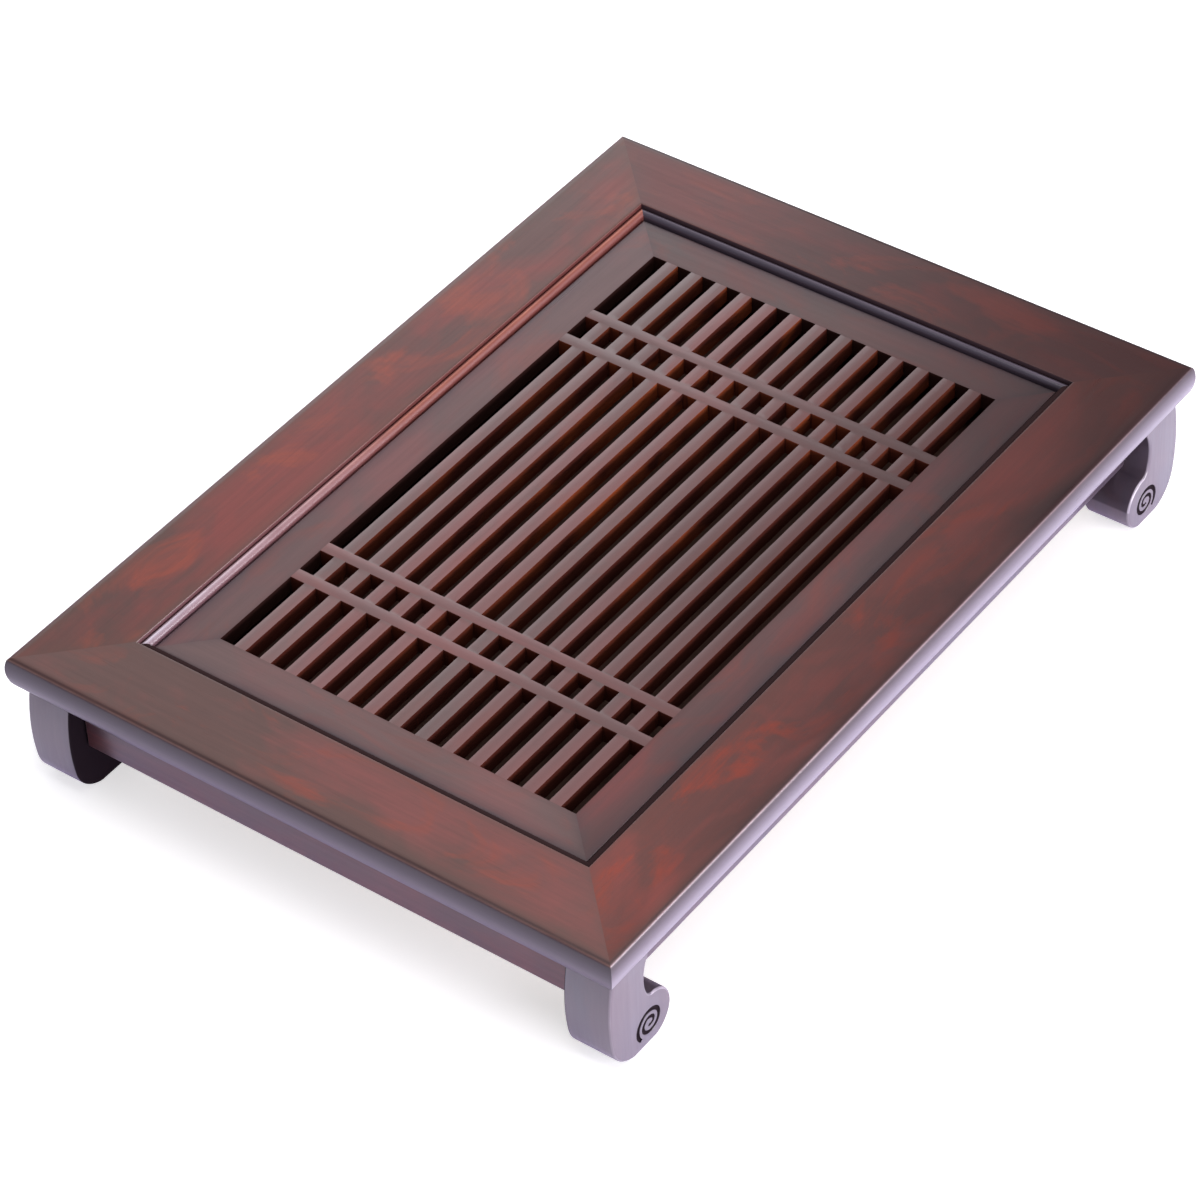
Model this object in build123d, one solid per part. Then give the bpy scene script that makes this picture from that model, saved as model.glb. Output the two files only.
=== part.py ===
"""Gongfu tea tray: a mitred wooden frame on four scroll feet, a lift-out slatted grille
and a drawer with a water liner below it. Millimetres.

The origin is on the table under the middle of the tray. X runs along the long side,
with the drawer at the -X (near) end. Y runs along the short side, with -Y on the
right of someone who stands at the drawer. Z is up.
"""

import os
from math import sqrt

from build123d import *

# Overall sizes
top_length = 400.0  # flat top along X, before the moulded edge
top_width = 283.0  # flat top along Y
tray_height = 66.0  # table to flat top
cut_overrun = 2.0  # how far a cutter reaches past the face that it opens

# Mitred frame rails
rail_width = 33.6  # flat land of a rail
rail_thickness = 17.0
nose_reach = 3.0  # how far the moulded edge stands out past the flat top
nose_arris_reach = 2.0  # how far its upper and lower arrises stand out
nose_arris_drop = 0.4  # flat top down to the upper arris
nose_arris_roll = 0.9  # where the flat top starts to roll down to the arris
nose_face_height = 11.6  # upper arris to lower arris
nose_under_inset = 2.5  # where the edge's lower curve meets the underside
arris_radius = 0.9  # inner edge of the land
bead_drop = 1.5  # how far the inner bead's top lies below the land
bead_radius = 1.9
ledge_width = 9.0  # the seat that the grille rests on

# Mitre splines, one hidden in each corner of the frame
spline_length = 24.0
spline_depth = 14.0
spline_thickness = 3.0
spline_cover = 1.5  # wood between a foot's tenon and the spline above it

# Lift-out grille
recess_depth = 4.0  # flat top down to the grille's top
grille_thickness = 8.0
grille_gap = 0.9  # between the grille and the bead all round
border_width = 17.8
edge_break = 0.4  # small chamfer on the grille's top edges
slat_count = 13
slat_width = 5.8
end_slot_length = 43.2  # slot between the border and the first cross bar
small_slot_length = 12.9  # slot between the two bars of a pair
tenon_length = 5.0
tenon_thickness = 3.5

# Scroll feet
foot_thickness = 21.2  # along Y
foot_side_inset = 1.7  # side face behind the long arris
foot_end_inset = 1.0  # the outer curve's fullest point behind the short arris
shoulder_inset = 3.4  # outer curve where it meets the frame
heel_inset = 2.2  # where the outer curve turns in to the sole
head_reach = 38.0  # inner end of the scroll head
head_radius = 12.3
notch_inset = 25.2  # where the scroll head meets the leg
leg_inset = 22.6  # inner side of the leg at its waist
leg_top_inset = 27.5  # inner side of the leg at the frame
belly_height_share = 0.65
heel_height_share = 0.28
waist_height_share = 0.69
notch_radius = 2.2
sole_trim = 0.4  # what is planed off so that the foot stands flat
foot_edge_break = 0.8
spiral_radius = 6.9
spiral_step = 1.4  # how much each half turn shrinks
spiral_half_turns = 4
spiral_groove = 1.3
spiral_depth = 0.9
spiral_centre_share = (0.14, 0.19)  # how far off the head's centre, in head radii

# Tenon on top of each foot, which locks the mitre above it
foot_tenon_height = 6.0
foot_tenon_length = 12.0  # along X
foot_tenon_width = 6.0  # along Y

# Aprons
apron_thickness = 10.0
apron_height = 24.5
apron_housing = 8.0  # how far a long apron is let into each leg
end_setback = 9.0  # drawer front and far apron behind the short arris
far_apron_thickness = 9.0

# Drawer runners
runner_width = 9.0
runner_height = 4.0
runner_housing = 2.0  # how far a runner is let into its apron

# Drawer
drawer_side_gap = 1.0
drawer_lift = 0.3  # running gap above the runners
drawer_top_gap = 1.5
drawer_back_gap = 0.4
front_top_gap = 0.8
front_thickness = 10.0
front_lap = 4.0  # wood left in front of the drawer sides
front_edge_radius = 1.0
drawer_side_thickness = 7.0
drawer_back_thickness = 7.0
bottom_thickness = 3.0
bottom_lift = 2.0  # groove above the lower edge of the drawer sides
bottom_groove = 3.0

# Water liner
liner_gap = 1.0
liner_wall = 1.6
liner_rim_drop = 1.2
liner_lip_width = 2.4
liner_lip_height = 1.6
liner_corner_radius = 9.0
liner_draft = 3.0  # degrees

# Levels and half sizes that the pieces share, worked out from the sizes above
half_length = top_length / 2
half_width = top_width / 2
rail_under = tray_height - rail_thickness
bead_inset = rail_width + 2 * bead_radius
grille_top = tray_height - recess_depth
grille_under = grille_top - grille_thickness
grille_half_length = half_length - bead_inset - grille_gap
grille_half_width = half_width - bead_inset - grille_gap
field_half_length = grille_half_length - border_width
field_half_width = grille_half_width - border_width
slot_width = (2 * field_half_width - slat_count * slat_width) / (slat_count + 1)
foot_inner = half_width - foot_side_inset - foot_thickness
apron_under = rail_under - apron_height
front_face = half_length - end_setback
far_apron_inner = front_face - far_apron_thickness
runner_top = apron_under + runner_height
drawer_under = runner_top + drawer_lift
drawer_side_top = rail_under - drawer_top_gap
drawer_outer = foot_inner - drawer_side_gap
drawer_inner = drawer_outer - drawer_side_thickness
drawer_end = far_apron_inner - drawer_back_gap
front_back = -front_face + front_thickness
back_front = drawer_end - drawer_back_thickness
bottom_under = drawer_under + bottom_lift
bottom_top = bottom_under + bottom_thickness


def block(low, high):
    """A square-edged block between two opposite corners."""
    size = [b - a for a, b in zip(low, high)]
    middle = [(a + b) / 2 for a, b in zip(low, high)]
    return Pos(*middle) * Box(*size)


def mitred(section, along, across, depth, low, high):
    """A bar along X at -Y with this section, mitred at 45 degrees at both ends."""
    start = Plane(origin=(-along, -across, 0), x_dir=(0, 1, 0), z_dir=(1, 0, 0))
    bar = extrude(start * section, amount=2 * along)
    plan = make_face(
        Polyline(
            (-along, -across),
            (along, -across),
            (along - depth, depth - across),
            (depth - along, depth - across),
            close=True,
        )
    )
    return bar & extrude(Pos(0, 0, low) * plan, amount=high - low)


# Frame


def rail_section():
    """Section of a rail: (distance in from the fullest point of its edge, height)."""
    land_start = (nose_reach + nose_arris_roll, tray_height)
    upper_arris = (nose_reach - nose_arris_reach, tray_height - nose_arris_drop)
    lower_arris = (upper_arris[0], upper_arris[1] - nose_face_height)
    fullest = (0, upper_arris[1] - nose_face_height / 2)
    under_start = (nose_reach + nose_under_inset, rail_under)
    bead_middle = tray_height - bead_drop - bead_radius
    land_end = nose_reach + rail_width
    bead_end = nose_reach + bead_inset
    ledge_end = bead_end + ledge_width
    eased = tray_height - arris_radius
    edge_face = ThreePointArc(lower_arris, fullest, upper_arris)
    return make_face(
        [
            Line(land_start, (land_end - arris_radius, tray_height)),
            TangentArc(
                (land_end - arris_radius, tray_height), (land_end, eased), tangent=(1, 0)
            ),
            Line((land_end, eased), (land_end, bead_middle)),
            ThreePointArc(
                (land_end, bead_middle),
                (land_end + bead_radius, bead_middle + bead_radius),
                (bead_end, bead_middle),
            ),
            Polyline(
                (bead_end, bead_middle),
                (bead_end, grille_under),
                (ledge_end, grille_under),
                (ledge_end, rail_under),
                under_start,
            ),
            TangentArc(lower_arris, under_start, tangent=-(edge_face % 0)),
            edge_face,
            TangentArc(land_start, upper_arris, tangent=(-1, 0)),
        ]
    )


def corner_spline(side_x, side_y):
    """A flat key across the mitre of one corner, inside the wood."""
    middle = (
        side_x * (half_length - rail_width / 2),
        side_y * (half_width - rail_width / 2),
        rail_under + foot_tenon_height + spline_cover + spline_thickness / 2,
    )
    turn = 45 * side_x * side_y
    return Pos(*middle) * Rot(0, 0, turn) * Box(spline_depth, spline_length, spline_thickness)


def foot_tenon(side_x, side_y):
    """The tenon on one foot, clear of the apron's housing."""
    x = side_x * (half_length - (shoulder_inset + leg_top_inset) / 2)
    y = side_y * (half_width - foot_side_inset - (foot_thickness - apron_thickness) / 2)
    return Pos(x, y, rail_under + foot_tenon_height / 2) * Box(
        foot_tenon_length, foot_tenon_width, foot_tenon_height
    )


def corners():
    """The signs of X and Y at the four corners, with a name for each."""
    for end, side_x in (("near", -1), ("far", 1)):
        for side, side_y in (("right", -1), ("left", 1)):
            yield end, side, side_x, side_y


def at_corners(make_piece):
    """The same piece at all four corners."""
    return [make_piece(side_x, side_y) for _, _, side_x, side_y in corners()]


def frame_rails():
    """Four mitred rails with a moulded edge, an inner bead and a seat for the grille."""
    section = rail_section()
    depth = nose_reach + bead_inset + ledge_width + cut_overrun
    low = rail_under - cut_overrun
    high = tray_height + cut_overrun
    long_half = half_length + nose_reach
    short_half = half_width + nose_reach
    long_rail = mitred(section, long_half, short_half, depth, low, high)
    short_rail = mitred(section, short_half, long_half, depth, low, high)
    sockets = at_corners(corner_spline) + at_corners(foot_tenon)
    return {
        "rail_right": long_rail - sockets,
        "rail_left": Rot(0, 0, 180) * long_rail - sockets,
        "rail_far": Rot(0, 0, 90) * short_rail - sockets,
        "rail_near": Rot(0, 0, -90) * short_rail - sockets,
    }


# Feet and aprons


def foot_outline():
    """Side view of a foot: (distance in from the short arris, height)."""
    sole = -sole_trim
    shoulder = (shoulder_inset, rail_under)
    belly = (foot_end_inset, rail_under * belly_height_share)
    heel = (heel_inset, rail_under * heel_height_share)
    head_inset = head_reach - head_radius
    head_level = sole + head_radius
    sole_end = (head_inset, sole)
    head_inner = (head_reach, head_level)
    notch_run = notch_inset - head_inset
    notch = (notch_inset, head_level + sqrt(head_radius**2 - notch_run**2))
    waist = (leg_inset, rail_under * waist_height_share)
    leg_top = (leg_top_inset, rail_under)
    outer_curve = ThreePointArc(shoulder, belly, heel)
    inward = outer_curve % 1
    heel_radius = (heel[1] - sole) / (1 - inward.X)
    sole_start = (heel_inset - heel_radius * inward.Y, sole)
    outline = make_face(
        [
            outer_curve,
            TangentArc(heel, sole_start, tangent=inward),
            Line(sole_start, sole_end),
            ThreePointArc(sole_end, head_inner, notch),
            ThreePointArc(notch, waist, leg_top),
            Line(leg_top, shoulder),
        ]
    )
    return fillet(outline.vertices().sort_by_distance(notch)[0], notch_radius)


def spiral_cutter():
    """The carved spiral as a thin band: half turns that shrink towards the middle."""
    arcs = []
    x = spiral_radius
    side = 1
    for turn in range(spiral_half_turns):
        radius = spiral_radius - turn * spiral_step
        middle = x - side * radius
        arcs.append(ThreePointArc((x, 0), (middle, side * radius), (middle - side * radius, 0)))
        x = middle - side * radius
        side = -side
    head_inset = head_reach - head_radius
    across_share, down_share = spiral_centre_share
    return Pos(
        head_inset - head_radius * across_share, head_radius * (1 - down_share)
    ) * trace(arcs, spiral_groove)


def near_right_foot():
    """The foot under the near right corner, with its spiral on the outer side face."""
    side_face = Plane(
        origin=(-half_length, foot_side_inset - half_width, 0),
        x_dir=(1, 0, 0),
        z_dir=(0, -1, 0),
    )
    foot = extrude(side_face * foot_outline(), amount=-foot_thickness)
    rims = foot.faces().filter_by(Axis.Y).edges()
    foot = chamfer([rim for rim in rims if rim.center().Z < rail_under], foot_edge_break)
    foot -= extrude(side_face * spiral_cutter(), amount=-spiral_depth)
    sole_box = block(
        (-half_length - cut_overrun, -half_width, -sole_trim - cut_overrun),
        (head_reach - half_length + cut_overrun, half_width, 0),
    )
    return foot - sole_box + foot_tenon(-1, -1)


def long_apron(side):
    """A side board between two feet, let into their legs; side is -1 on the right."""
    reach = half_length - leg_inset + apron_housing
    edges = sorted((side * foot_inner, side * (foot_inner + apron_thickness)))
    return block((-reach, edges[0], apron_under), (reach, edges[1], rail_under))


def runner(side):
    """The strip that a drawer side slides on, let into the long apron."""
    reach = half_length - leg_top_inset
    outer = foot_inner + runner_housing
    edges = sorted((side * outer, side * (outer - runner_width)))
    return block((-reach, edges[0], apron_under), (reach, edges[1], runner_top))


def base_pieces():
    """Feet, aprons and runners, with their housings cut."""
    first = near_right_foot()
    aprons = {"right": long_apron(-1), "left": long_apron(1)}
    runners = {"right": runner(-1), "left": runner(1)}
    pieces = {}
    for end, side, side_x, side_y in corners():
        foot = first if side_x < 0 else mirror(first, Plane.YZ)
        foot = foot if side_y < 0 else mirror(foot, Plane.XZ)
        pieces[f"foot_{end}_{side}"] = foot - aprons[side]
    for side in ("right", "left"):
        pieces[f"apron_{side}"] = aprons[side] - runners[side]
        pieces[f"runner_{side}"] = runners[side]
    pieces["apron_far"] = block(
        (far_apron_inner, -foot_inner, apron_under), (front_face, foot_inner, rail_under)
    )
    return pieces


# Grille


def slat_levels():
    """Where each slat's centre lies along Y."""
    first = slot_width + slat_width / 2 - field_half_width
    return [first + index * (slot_width + slat_width) for index in range(slat_count)]


def bar_places():
    """Where each cross bar's centre lies along X: one pair near each end."""
    outer = field_half_length - end_slot_length - slat_width / 2
    inner = outer - slat_width - small_slot_length
    return [-outer, -inner, inner, outer]


def lath(half_run):
    """A lath along X with broken top edges and a stub tenon at each end."""
    half_lath = slat_width / 2
    lath_section = make_face(
        Polyline(
            (-half_lath, grille_under),
            (-half_lath, grille_top - edge_break),
            (edge_break - half_lath, grille_top),
            (half_lath - edge_break, grille_top),
            (half_lath, grille_top - edge_break),
            (half_lath, grille_under),
            close=True,
        )
    )
    start = Plane(origin=(-half_run, 0, 0), x_dir=(0, 1, 0), z_dir=(1, 0, 0))
    middle = (grille_top + grille_under) / 2
    tenons = block(
        (-half_run - tenon_length, -half_lath, middle - tenon_thickness / 2),
        (half_run + tenon_length, half_lath, middle + tenon_thickness / 2),
    )
    return extrude(start * lath_section, amount=2 * half_run) + tenons


def crossing(x, y, low, high):
    """The wood that one half of a lap takes away where a slat meets a cross bar."""
    half_lath = slat_width / 2
    return block(
        (x - half_lath, y - half_lath, low),
        (x + half_lath, y + half_lath, high),
    )


def grille_laths():
    """Slats along X over cross bars along Y, half-lapped so that their tops are flush."""
    lap = (grille_top + grille_under) / 2
    below = grille_under - cut_overrun
    above = grille_top + cut_overrun
    slat = lath(field_half_length)
    bar = Rot(0, 0, 90) * lath(field_half_width)
    pieces = {}
    for number, y in enumerate(slat_levels(), start=1):
        laps = [crossing(x, y, below, lap) for x in bar_places()]
        pieces[f"slat_{number:02d}"] = Pos(0, y, 0) * slat - laps
    for number, x in enumerate(bar_places(), start=1):
        laps = [crossing(x, y, lap, above) for y in slat_levels()]
        pieces[f"cross_bar_{number}"] = Pos(x, 0, 0) * bar - laps
    return pieces


def grille_borders(laths):
    """Four mitred border pieces, mortised for the laths' tenons."""
    section = make_face(
        Polyline(
            (0, grille_under),
            (0, grille_top - edge_break),
            (edge_break, grille_top),
            (border_width - edge_break, grille_top),
            (border_width, grille_top - edge_break),
            (border_width, grille_under),
            close=True,
        )
    )
    depth = border_width + cut_overrun
    low = grille_under - cut_overrun
    high = grille_top + cut_overrun
    long_border = mitred(section, grille_half_length, grille_half_width, depth, low, high)
    short_border = mitred(section, grille_half_width, grille_half_length, depth, low, high)
    slats = [piece for name, piece in laths.items() if name.startswith("slat")]
    bars = [piece for name, piece in laths.items() if name.startswith("cross_bar")]
    return {
        "grille_border_right": long_border - bars,
        "grille_border_left": Rot(0, 0, 180) * long_border - bars,
        "grille_border_far": Rot(0, 0, 90) * short_border - slats,
        "grille_border_near": Rot(0, 0, -90) * short_border - slats,
    }


# Drawer


def drawer_pieces():
    """A lapped drawer box with a grooved-in bottom; its front hangs down over the runners."""
    bottom = block(
        (front_back - bottom_groove, -drawer_inner - bottom_groove, bottom_under),
        (back_front + bottom_groove, drawer_inner + bottom_groove, bottom_top),
    )
    side_start = -front_face + front_lap
    right = block(
        (side_start, -drawer_outer, drawer_under), (drawer_end, -drawer_inner, drawer_side_top)
    )
    left = mirror(right, Plane.XZ)
    back = block(
        (back_front, -drawer_inner, drawer_under), (drawer_end, drawer_inner, drawer_side_top)
    )
    front = block(
        (-front_face, -drawer_outer, apron_under),
        (front_back, drawer_outer, rail_under - front_top_gap),
    )
    shown_edges = front.faces().sort_by(Axis.X)[0].edges().filter_by(Axis.Y)
    front = fillet(shown_edges, front_edge_radius)
    return {
        "drawer_front": front - [right, left, bottom],
        "drawer_side_right": right - bottom,
        "drawer_side_left": left - bottom,
        "drawer_back": back - bottom,
        "drawer_bottom": bottom,
    }


def rounded_slab(half_x, half_y, radius, top, drop, draft=0.0):
    """A slab with round corners that hangs from a level and draws in as it goes down."""
    middle_x = (front_back + back_front) / 2
    plan = Pos(middle_x, 0, top) * RectangleRounded(2 * half_x, 2 * half_y, radius)
    return extrude(plan, amount=-drop, taper=draft)


def water_liner():
    """A moulded tray with drafted walls and a small lip, standing on the drawer's bottom."""
    top = drawer_side_top - liner_rim_drop
    lip_x = (back_front - front_back) / 2 - liner_gap
    lip_y = drawer_inner - liner_gap
    body_x = lip_x - liner_lip_width
    body_y = lip_y - liner_lip_width
    well_radius = liner_corner_radius - liner_wall
    lip_radius = liner_corner_radius + liner_lip_width
    depth = top - bottom_top
    body = rounded_slab(body_x, body_y, liner_corner_radius, top, depth, liner_draft)
    lip = rounded_slab(lip_x, lip_y, lip_radius, top, liner_lip_height)
    well = rounded_slab(
        body_x - liner_wall, body_y - liner_wall, well_radius, top, depth - liner_wall, liner_draft
    )
    return body + lip - well


def tray_pieces():
    """Every piece of the tray, by the name of its node."""
    laths = grille_laths()
    return {
        **frame_rails(),
        "mitre_splines": Compound(children=at_corners(corner_spline)),
        **base_pieces(),
        **grille_borders(laths),
        **laths,
        **drawer_pieces(),
        "water_liner": water_liner(),
    }


os.makedirs("parts", exist_ok=True)
for name, piece in tray_pieces().items():
    export_step(piece, f"parts/{name}.step")
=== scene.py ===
"""Finish of a wooden gongfu tea tray, built round its fixed frame. Metres.

X runs along the long side with the drawer at the near (-X) end, -Y is the right side
and Z is up, as in the frame.
"""

import math

import bmesh
import bpy
from mathutils import Matrix, Vector


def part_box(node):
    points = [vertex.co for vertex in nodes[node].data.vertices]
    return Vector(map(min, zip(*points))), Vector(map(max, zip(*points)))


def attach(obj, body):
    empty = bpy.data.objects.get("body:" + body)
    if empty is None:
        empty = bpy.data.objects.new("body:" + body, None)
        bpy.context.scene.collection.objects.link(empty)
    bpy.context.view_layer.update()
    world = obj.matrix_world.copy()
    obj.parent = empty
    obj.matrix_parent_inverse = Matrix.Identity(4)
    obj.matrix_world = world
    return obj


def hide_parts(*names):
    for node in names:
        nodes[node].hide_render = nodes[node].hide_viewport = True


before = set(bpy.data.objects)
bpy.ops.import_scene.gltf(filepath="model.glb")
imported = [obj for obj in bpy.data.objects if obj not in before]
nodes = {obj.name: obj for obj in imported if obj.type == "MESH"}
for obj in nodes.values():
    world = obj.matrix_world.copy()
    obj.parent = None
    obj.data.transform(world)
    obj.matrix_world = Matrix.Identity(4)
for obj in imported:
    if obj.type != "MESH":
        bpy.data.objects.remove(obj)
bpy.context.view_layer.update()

MM = 0.001

# Frame rails, to the solids' sizes but with finer edges
nose_reach = 3.0 * MM
nose_arris_reach = 2.0 * MM
nose_arris_drop = 0.4 * MM
nose_arris_roll = 0.9 * MM
nose_face_height = 11.6 * MM
nose_under_inset = 2.5 * MM
nose_easing = 0.55 * MM  # how far the upper arris is rubbed round
arris_radius = 0.4 * MM  # inner edge of the flat land
land_width = 33.6 * MM
bead_drop = 1.5 * MM
bead_radius = 1.9 * MM
ledge_width = 9.0 * MM
rail_low, rail_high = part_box("rail_right")
half_length = rail_high.x - nose_reach
half_width = -rail_low.y - nose_reach
rail_under = rail_low.z
top = rail_high.z

# Grille
border_low, border_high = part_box("grille_border_right")
grille_under = border_low.z
grille_top = border_high.z
grille_half_length = border_high.x
grille_half_width = -border_low.y
border_width = border_high.y - border_low.y
slat_low, slat_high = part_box("slat_01")
slat_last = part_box("slat_13")
slat_width = slat_high.y - slat_low.y
slat_count = 13
slat_first = (slat_low.y + slat_high.y) / 2
slat_pitch = (slat_last[0].y - slat_low.y) / (slat_count - 1)
bar_outer = -sum(corner.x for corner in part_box("cross_bar_1")) / 2
bar_inner = -sum(corner.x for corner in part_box("cross_bar_2")) / 2
lath_edge = 0.35 * MM
lath_bury = 1.0 * MM  # how far the laths run into the border
lath_sink = 0.03 * MM  # their tops below the border's top
bar_proud = 0.01 * MM  # keeps a bar's faces off the slats' faces
lath_waver = 0.16 * MM  # how uneven the hand-planed sides are
lath_waver_scale = 160.0  # per metre
lath_step = 3.0 * MM  # between the points along a lath

# Feet; a pair is (distance in from the short side, height)
foot_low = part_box("foot_near_right")[0]
foot_inner = -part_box("apron_right")[1].y
foot_thickness = -foot_low.y - foot_inner
foot_edge = 1.1 * MM
foot_edge_steps = 6
foot_shoulder = 3.4 * MM
foot_belly = (1.0 * MM, 31.85 * MM)
foot_heel = (2.2 * MM, 13.72 * MM)
foot_head_reach = 38.0 * MM
foot_head_radius = 12.3 * MM
foot_notch_inset = 25.2 * MM
foot_notch_reach = 2.4 * MM
foot_waist = (22.6 * MM, 33.8 * MM)
foot_top_inset = 27.5 * MM
foot_sole_trim = 0.4 * MM  # cut off flat under the curves of heel and head
foot_point_gap = 0.05 * MM
spiral_radius = 6.8 * MM
spiral_step = 1.65 * MM
spiral_half_turns = 4
spiral_start = 225  # degrees, where the outer end lies
spiral_depth = 1.0 * MM
spiral_groove = 1.15 * MM  # radius of the round cutter
spiral_centre = (24.0 * MM, 9.96 * MM)

# Boards
board_edge = 0.6 * MM
front_edge = 1.0 * MM
rebate_overrun = 2.0 * MM

# How far each mark in the finish reaches from its edge, painted shade and painted highlights among
# them
rub_and_highlight_reach = 0.25 * MM
crest_reach = 0.6 * MM
roll_reach = 0.45 * MM
roll_middle = 1.2 * MM  # past the end of the flat top
roll_half_width = 0.5 * MM
quirk_reach = 0.5 * MM
seat_reach = 0.6 * MM
margin_reach = 3.0 * MM
mitre_reach = 9.0 * MM
outer_reach = 14.0 * MM
slot_reach = 1.0 * MM
border_margin_reach = 3.4 * MM
border_mitre_reach = 4.0 * MM
riser_shade = 0.9
riser_skin = 0.12 * MM
riser_drop = 0.15 * MM
skin = 0.1 * MM  # how near a face still counts as on it
hair = 0.01 * MM

# Where the marks of a foot begin and end
spiral_margin = 1.5 * MM
groove_depths = (0.05 * MM, 2.0 * MM)
throat_inset = foot_notch_inset - 5.0 * MM
throat_low = 13.0 * MM
crown_high = 24.0 * MM

# Where tones, painted shade (dusk) and painted light (lit) change along X or Y, in metres
outer_run = (-0.17, -0.05)
dusk_run = (-0.11, 0.0)
dusk_side = (-0.08, 0.03)
lit_run = (-0.12, 0.1)
lit_side = (-0.085, 0.0)
level_facing = (0.75, 0.97)  # how far up a face points before it counts as level

# Camera, as fitted to the photograph's corners
camera_place = (-1.0829, -0.8310, 1.2536)
camera_forward = (0.58526, 0.45490, -0.67122)
camera_right = (0.58878, -0.80758, -0.03393)
camera_lens = 137.13
camera_sensor = 36.0

# Stage: name, place, size, power and colour of each lamp
softboxes = (
    ("side_softbox", (0.0, -1.5, 0.32), (1.8, 0.5), 35, (0.97, 0.93, 1.0)),
    ("bead_softbox", (0.62, -0.76, 0.76), (0.6, 1.0), 3.5, (1.0, 0.93, 1.0)),
    ("back_softbox", (1.15, 1.2, 0.85), (1.0, 0.7), 3.0, (0.97, 0.96, 1.0)),
    ("top_softbox", (-0.1, -0.3, 1.7), (1.2, 1.2), 21.5, (1.0, 0.985, 0.98)),
)
gloss_lamps = ("bead_softbox",)  # seen in gloss alone
lamp_aim = (0, 0, 0.03)
floor_reach = 6.0


def srgb(red, green, blue):
    """A colour given as it looks on screen, 0 to 255, as linear values."""
    shares = [value / 255 for value in (red, green, blue)]
    linear = [s / 12.92 if s <= 0.04045 else ((s + 0.055) / 1.055) ** 2.4 for s in shares]
    return (*linear, 1.0)


# Node trees


def new_node(tree, kind, settings=None, inputs=None):
    """Adds a node; an input given as a socket is linked, and anything else is set."""
    item = tree.nodes.new(kind)
    for key, value in (settings or {}).items():
        setattr(item, key, value)
    for key, value in (inputs or {}).items():
        if isinstance(value, bpy.types.NodeSocket):
            tree.links.new(value, item.inputs[key])
        else:
            item.inputs[key].default_value = value
    return item


def reckon(tree, operation, a, b=0.0):
    """One sum of two values."""
    return new_node(tree, "ShaderNodeMath", {"operation": operation}, {0: a, 1: b}).outputs[0]


# Plane shapes


def arc(centre, radius, start, end, steps):
    """Points on an arc between two angles in degrees."""
    points = []
    for step in range(steps + 1):
        angle = math.radians(start + (end - start) * step / steps)
        points.append(
            (centre[0] + radius * math.cos(angle), centre[1] + radius * math.sin(angle))
        )
    return points


def circle_through(a, b, c):
    """Centre of the circle through three points."""
    ax, ay = a
    bx, by = b
    cx, cy = c
    d = 2 * (ax * (by - cy) + bx * (cy - ay) + cx * (ay - by))
    aa, bb, cc = ax * ax + ay * ay, bx * bx + by * by, cx * cx + cy * cy
    x = (aa * (by - cy) + bb * (cy - ay) + cc * (ay - by)) / d
    y = (aa * (cx - bx) + bb * (ax - cx) + cc * (bx - ax)) / d
    return x, y


def angle_at(centre, point):
    """Direction of a point seen from a centre, in degrees."""
    return math.degrees(math.atan2(point[1] - centre[1], point[0] - centre[0]))


def arc_through(a, b, c, steps):
    """Points on the arc from a to c that passes through b."""
    centre = circle_through(a, b, c)
    start, middle, end = (angle_at(centre, p) for p in (a, b, c))
    while middle < start:
        middle += 360
    while end < start:
        end += 360
    if middle > end:
        end -= 360
    return arc(centre, math.dist(centre, a), start, end, steps)


def tangent_arc(a, direction, b, steps):
    """Points on the arc that leaves a in a direction and ends at b."""
    chord = (b[0] - a[0], b[1] - a[1])
    turn = math.atan2(chord[1], chord[0]) - math.atan2(direction[1], direction[0])
    turn = (turn + math.pi) % (2 * math.pi) - math.pi
    radius = math.hypot(*chord) / (2 * math.sin(turn))
    size = math.hypot(*direction)
    normal = (-direction[1] / size, direction[0] / size)
    centre = (a[0] + normal[0] * radius, a[1] + normal[1] * radius)
    start = angle_at(centre, a)
    return arc(centre, abs(radius), start, start + math.degrees(2 * turn), steps)


def stretch(a, b, steps):
    """Evenly spaced points from a to b."""
    return [
        (a[0] + (b[0] - a[0]) * k / steps, a[1] + (b[1] - a[1]) * k / steps)
        for k in range(steps + 1)
    ]


def without_repeats(points, gap=hair):
    """The points with no two neighbours in the same place."""
    kept = []
    for point in points:
        if not kept or math.dist(point, kept[-1]) > gap:
            kept.append(point)
    if math.dist(kept[0], kept[-1]) <= gap:
        kept.pop()
    return kept


def eased(points, corner, reach, steps=7):
    """Swaps the points round a corner for a smooth curve from one side to the other."""
    near = [k for k, point in enumerate(points) if math.dist(point, corner) < reach]
    before, after = points[near[0] - 1], points[near[-1] + 1]
    curve = []
    for step in range(steps + 1):
        t = step / steps
        shares = ((1 - t) ** 2, 2 * t * (1 - t), t * t)
        curve.append(
            tuple(sum(s * p[k] for s, p in zip(shares, (before, corner, after))) for k in (0, 1))
        )
    return points[: near[0] - 1] + curve + points[near[-1] + 2 :]


def outward(points):
    """A unit vector out of a closed outline at each of its points."""
    count = len(points)
    area = sum(
        points[k][0] * points[(k + 1) % count][1] - points[(k + 1) % count][0] * points[k][1]
        for k in range(count)
    )
    sign = 1 if area > 0 else -1
    result = []
    for k in range(count):
        before, after = points[k - 1], points[(k + 1) % count]
        along = Vector((after[0] - before[0], after[1] - before[1])).normalized()
        result.append((along.y * sign, -along.x * sign))
    return result


# Meshes


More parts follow.
